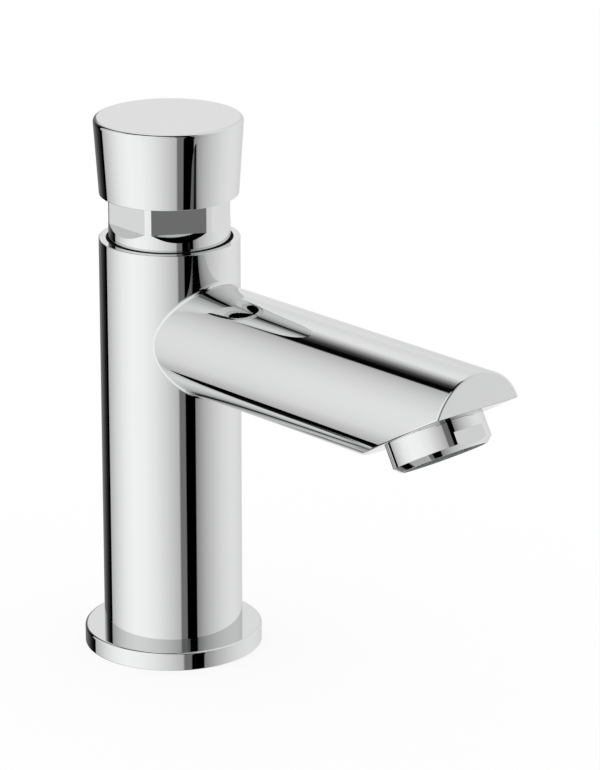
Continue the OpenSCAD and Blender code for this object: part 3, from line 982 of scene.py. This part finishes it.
@dataclass(frozen=True)
class Panel:
    """Upright strip of the studio's wall, which glows most at one place and less towards its edges."""

    start: float
    end: float
    first: float
    peak: float
    last: float
    peak_at: float = 0.5
    softness: float = 1.0
    steps: int = 8

    def _level(self, share: float) -> float:
        """Works out the brightness at a place.

        Args:
            share: Share of the strip's width.

        Returns:
            The brightness.
        """
        rising = share < self.peak_at
        edge = self.first if rising else self.last
        reach = share / self.peak_at if rising else (1 - share) / (1 - self.peak_at)
        return edge + (self.peak - edge) * math.sin(reach * math.pi / 2) ** self.softness

    def stops(self) -> list[tuple[float, float]]:
        """Returns bearing and brightness at even steps across the strip."""
        shares = [i / self.steps for i in range(self.steps + 1)]
        return [(self.start + (self.end - self.start) * share, self._level(share)) for share in shares]


@dataclass
class Studio:
    """Camera, floor and the bright room that the chrome mirrors.

    A strip's bearings are in degrees. A soft edge is a pair: where a zone of the room begins and where it is
    full, as a part of the ray's direction.
    """

    camera_at: tuple[float, float, float] = (806.3, -686.8, 431.1)
    heading: float = math.radians(47.64)
    pitch: float = math.radians(18.57)
    lens_mm: float = 187.95
    sensor_mm: float = 36.0
    floor_mm: float = 6000.0
    floor_z: float = -0.05
    shadow_share: float = 0.18
    glow: float = 1.18
    seam: float = -164.3
    seam_bulge: float = 3.9
    bulge_top: SoftEdge = (-0.45, -0.62)
    bulge_foot: SoftEdge = (-0.76, -0.64)
    gap_edge: float = 0.3
    low_row: tuple[Panel, ...] = (
        Panel(seam, -28.0, 0.48, 0.99, 0.5, peak_at=0.455, steps=7),
        Panel(-27.7, -17.3, 0.165, 0.165, 0.165, steps=1),
        Panel(-0.5, 121.0, 0.25, 0.825, 0.745, peak_at=0.68, softness=0.78, steps=7),
        Panel(123.0, 141.5, 0.745, 0.86, 0.86, peak_at=0.75, softness=8.3, steps=4),
        Panel(147.5, 190.5, 0.23, 0.23, 0.0, peak_at=0.0, softness=2.0, steps=5),
    )
    high_row: tuple[Panel, ...] = (
        Panel(seam, -28.0, 0.47, 0.96, 0.44, peak_at=0.455, steps=7),
        Panel(-27.7, -13.5, 0.155, 0.155, 0.155, steps=1),
        Panel(1.0, 121.0, 0.22, 0.8, 0.745, peak_at=0.68, softness=0.78, steps=7),
        Panel(142.0, 192.0, 0.79, 0.89, 0.0, peak_at=0.22, softness=4.5, steps=7),
        Panel(194.2, 195.6, 0.0, 0.47, 0.47, steps=2),
    )
    rows_meet: SoftEdge = (0.26, 0.45)
    ground: str = "#afafaf"
    ground_edge: SoftEdge = (-0.95, -0.97)
    pit_edge: SoftEdge = (-0.85, -0.9)
    pit_front: SoftEdge = (0.06, 0.14)
    slit_across: float = math.radians(-79.5)
    slit_foot: SoftEdge = (0.76, 0.84)
    slit_back: SoftEdge = (-0.2, -0.13)
    slit_front: SoftEdge = (0.34, 0.26)

    def build(self) -> None:
        """Sets up the camera, the floor and the light."""
        scene = bpy.context.scene
        scene.view_settings.view_transform = "Standard"
        self._camera(scene)
        self._floor(scene)
        self._light(scene)

    def _camera(self, scene: bpy.types.Scene) -> None:
        """Adds the camera at the photograph's angle.

        Args:
            scene: Scene that takes the camera.
        """
        data = bpy.data.cameras.new("camera")
        data.lens = self.lens_mm
        data.sensor_width = self.sensor_mm
        camera = bpy.data.objects.new("camera", data)
        camera.location = Vector(self.camera_at) * MM
        camera.rotation_euler = (math.pi / 2 - self.pitch, 0.0, self.heading)
        scene.collection.objects.link(camera)
        scene.camera = camera

    def _floor(self, scene: bpy.types.Scene) -> None:
        """Adds a paper floor, which stays out of the chrome.

        Args:
            scene: Scene that takes the floor.
        """
        bm = bmesh.new()
        level = Matrix.Translation(UP * self.floor_z * MM)
        bmesh.ops.create_grid(bm, x_segments=1, y_segments=1, size=self.floor_mm * MM / 2, matrix=level)
        mesh = bpy.data.meshes.new("floor")
        bm.to_mesh(mesh)
        bm.free()
        mesh.materials.append(self._paper())
        floor = bpy.data.objects.new("floor", mesh)
        scene.collection.objects.link(floor)
        floor.visible_glossy = False

    def _paper(self) -> bpy.types.Material:
        """Builds the floor's material.

        Returns:
            The material.
        """
        # Matt white paper: as bright as the background, with a breath of shadow, and clear from below.
        material = bpy.data.materials.new("matt_white_paper")
        material.use_nodes = True
        tree = material.node_tree
        tree.nodes.clear()
        white = linear(PURE_WHITE)
        matt = add_node(tree, "ShaderNodeBsdfDiffuse", {"Color": white}).outputs[0]
        glow = add_node(tree, "ShaderNodeEmission", {"Color": white, "Strength": 1.0}).outputs[0]
        seen = add_node(tree, "ShaderNodeLightPath", {}).outputs["Is Camera Ray"]
        share = add_node(
            tree, "ShaderNodeMath", {0: seen, 1: 1.0 - self.shadow_share}, operation="MULTIPLY"
        ).outputs[0]
        top = add_node(tree, "ShaderNodeMixShader", {0: share, 1: matt, 2: glow}).outputs[0]
        below = add_node(tree, "ShaderNodeNewGeometry", {}).outputs["Backfacing"]
        clear = add_node(tree, "ShaderNodeBsdfTransparent", {"Color": white}).outputs[0]
        mix = add_node(tree, "ShaderNodeMixShader", {0: below, 1: top, 2: clear}).outputs[0]
        add_node(tree, "ShaderNodeOutputMaterial", {"Surface": mix})
        return material

    def _wall(
        self, tree: bpy.types.NodeTree, bearing: bpy.types.NodeSocket, row: Sequence[Panel]
    ) -> bpy.types.NodeSocket:
        """Adds one row of the studio's wall.

        Args:
            tree: World's node tree.
            bearing: Bearing from the seam, from 0 to 1 round the room.
            row: Strips of the row, with a dark gap between the second and the third.

        Returns:
            The row's brightness.
        """
        ramp = add_node(tree, "ShaderNodeValToRGB", {"Fac": bearing})
        _, card, fill, *_ = row
        gap = [(card.end + self.gap_edge, 0.0), (fill.start - self.gap_edge, 0.0)]
        stops = [*gap, (self.seam + FULL_TURN_DEG, row[-1].last)]
        for panel in row:
            stops += panel.stops()
        elements = ramp.color_ramp.elements
        while len(elements) < len(stops):
            elements.new(0.5)
        for element, (degrees, level) in zip(elements, sorted(stops)):
            element.position = (degrees - self.seam) / FULL_TURN_DEG
            element.color = (level, level, level, 1.0)
        return ramp.outputs["Color"]

    def _zone(
        self, tree: bpy.types.NodeTree, edges: Sequence[tuple[bpy.types.NodeSocket, SoftEdge]]
    ) -> bpy.types.NodeSocket:
        """Adds a zone of the room with soft edges.

        Args:
            tree: World's node tree.
            edges: Each part of the ray's direction that bounds the zone, with its soft edge.

        Returns:
            1 inside the zone and 0 outside.
        """
        inside: bpy.types.NodeSocket | float = 1.0
        for value, (begins, full) in edges:
            step = add_node(
                tree,
                "ShaderNodeMapRange",
                {"Value": value, "From Min": begins, "From Max": full},
                interpolation_type="SMOOTHSTEP",
            ).outputs[0]
            inside = add_node(tree, "ShaderNodeMath", {0: inside, 1: step}, operation="MULTIPLY").outputs[0]
        return inside

    def _bearing(self, tree: bpy.types.NodeTree, parts: bpy.types.Node) -> bpy.types.NodeSocket:
        """Adds the bearing of a ray, from a seam that bulges low down.

        Args:
            tree: World's node tree.
            parts: Node that gives the three parts of the ray's direction.

        Returns:
            Bearing from the seam, from 0 to 1 round the room.
        """
        x, y, height = (parts.outputs[axis] for axis in "XYZ")
        angle = add_node(tree, "ShaderNodeMath", {0: y, 1: x}, operation="ARCTAN2").outputs[0]
        bulge = self._zone(tree, [(height, self.bulge_top), (height, self.bulge_foot)])
        from_seam = add_node(
            tree,
            "ShaderNodeMath",
            {0: bulge, 1: -self.seam_bulge / FULL_TURN_DEG, 2: -self.seam / FULL_TURN_DEG},
            operation="MULTIPLY_ADD",
        ).outputs[0]
        turns = add_node(
            tree, "ShaderNodeMath", {0: angle, 1: 1 / math.tau, 2: from_seam}, operation="MULTIPLY_ADD"
        ).outputs[0]
        return add_node(tree, "ShaderNodeMath", {0: turns}, operation="FRACT").outputs[0]

    def _room(self, tree: bpy.types.NodeTree) -> bpy.types.NodeSocket:
        """Adds the room: two rows of wall, the ground, a dark pit in it and a dark slit overhead.

        Args:
            tree: World's node tree.

        Returns:
            The room's colour in the direction of the ray.
        """
        way = add_node(tree, "ShaderNodeTexCoord", {}).outputs["Generated"]
        parts = add_node(tree, "ShaderNodeSeparateXYZ", {0: way})
        height = parts.outputs["Z"]
        behind, across = (
            add_node(
                tree,
                "ShaderNodeVectorMath",
                {0: way, 1: (math.cos(angle), math.sin(angle), 0.0)},
                operation="DOT_PRODUCT",
            ).outputs["Value"]
            for angle in (self.heading + math.pi / 2, self.slit_across)
        )
        bearing = self._bearing(tree, parts)
        room, high = (self._wall(tree, bearing, row) for row in (self.low_row, self.high_row))
        black = linear(PURE_BLACK)
        layers = (
            (high, [(height, self.rows_meet)]),
            (linear(self.ground), [(height, self.ground_edge)]),
            (black, [(behind, self.pit_front), (height, self.pit_edge)]),
            (black, [(across, self.slit_back), (across, self.slit_front), (height, self.slit_foot)]),
        )
        for colour, edges in layers:
            room = add_node(
                tree,
                "ShaderNodeMix",
                {MIX_SHARE: self._zone(tree, edges), MIX_FIRST: room, MIX_SECOND: colour},
                data_type="RGBA",
            ).outputs[MIX_RESULT]
        return room

    def _light(self, scene: bpy.types.Scene) -> None:
        """Lights the tap by plain white all round, and shows the room to the chrome alone.

        Args:
            scene: Scene that takes the light.
        """
        world = bpy.data.worlds.new("studio")
        scene.world = world
        world.use_nodes = True
        tree = world.node_tree
        tree.nodes.clear()
        room = add_node(
            tree, "ShaderNodeBackground", {"Color": self._room(tree), "Strength": self.glow}
        ).outputs[0]
        plain = add_node(
            tree, "ShaderNodeBackground", {"Color": linear(PURE_WHITE), "Strength": 1.0}
        ).outputs[0]
        mirrored = add_node(tree, "ShaderNodeLightPath", {}).outputs["Is Glossy Ray"]
        mix = add_node(tree, "ShaderNodeMixShader", {0: mirrored, 1: plain, 2: room}).outputs[0]
        add_node(tree, "ShaderNodeOutputWorld", {"Surface": mix})


def main() -> None:
    """Builds the tap piece by piece, then the studio."""
    logging.basicConfig(level=logging.INFO, format="%(name)s: %(message)s")
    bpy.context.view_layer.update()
    for assembly in (Column(), Spout(), Bonnet(), Button()):
        assembly.build()
    Inside().dress()
    Studio().build()


if __name__ == "__main__":
    main()
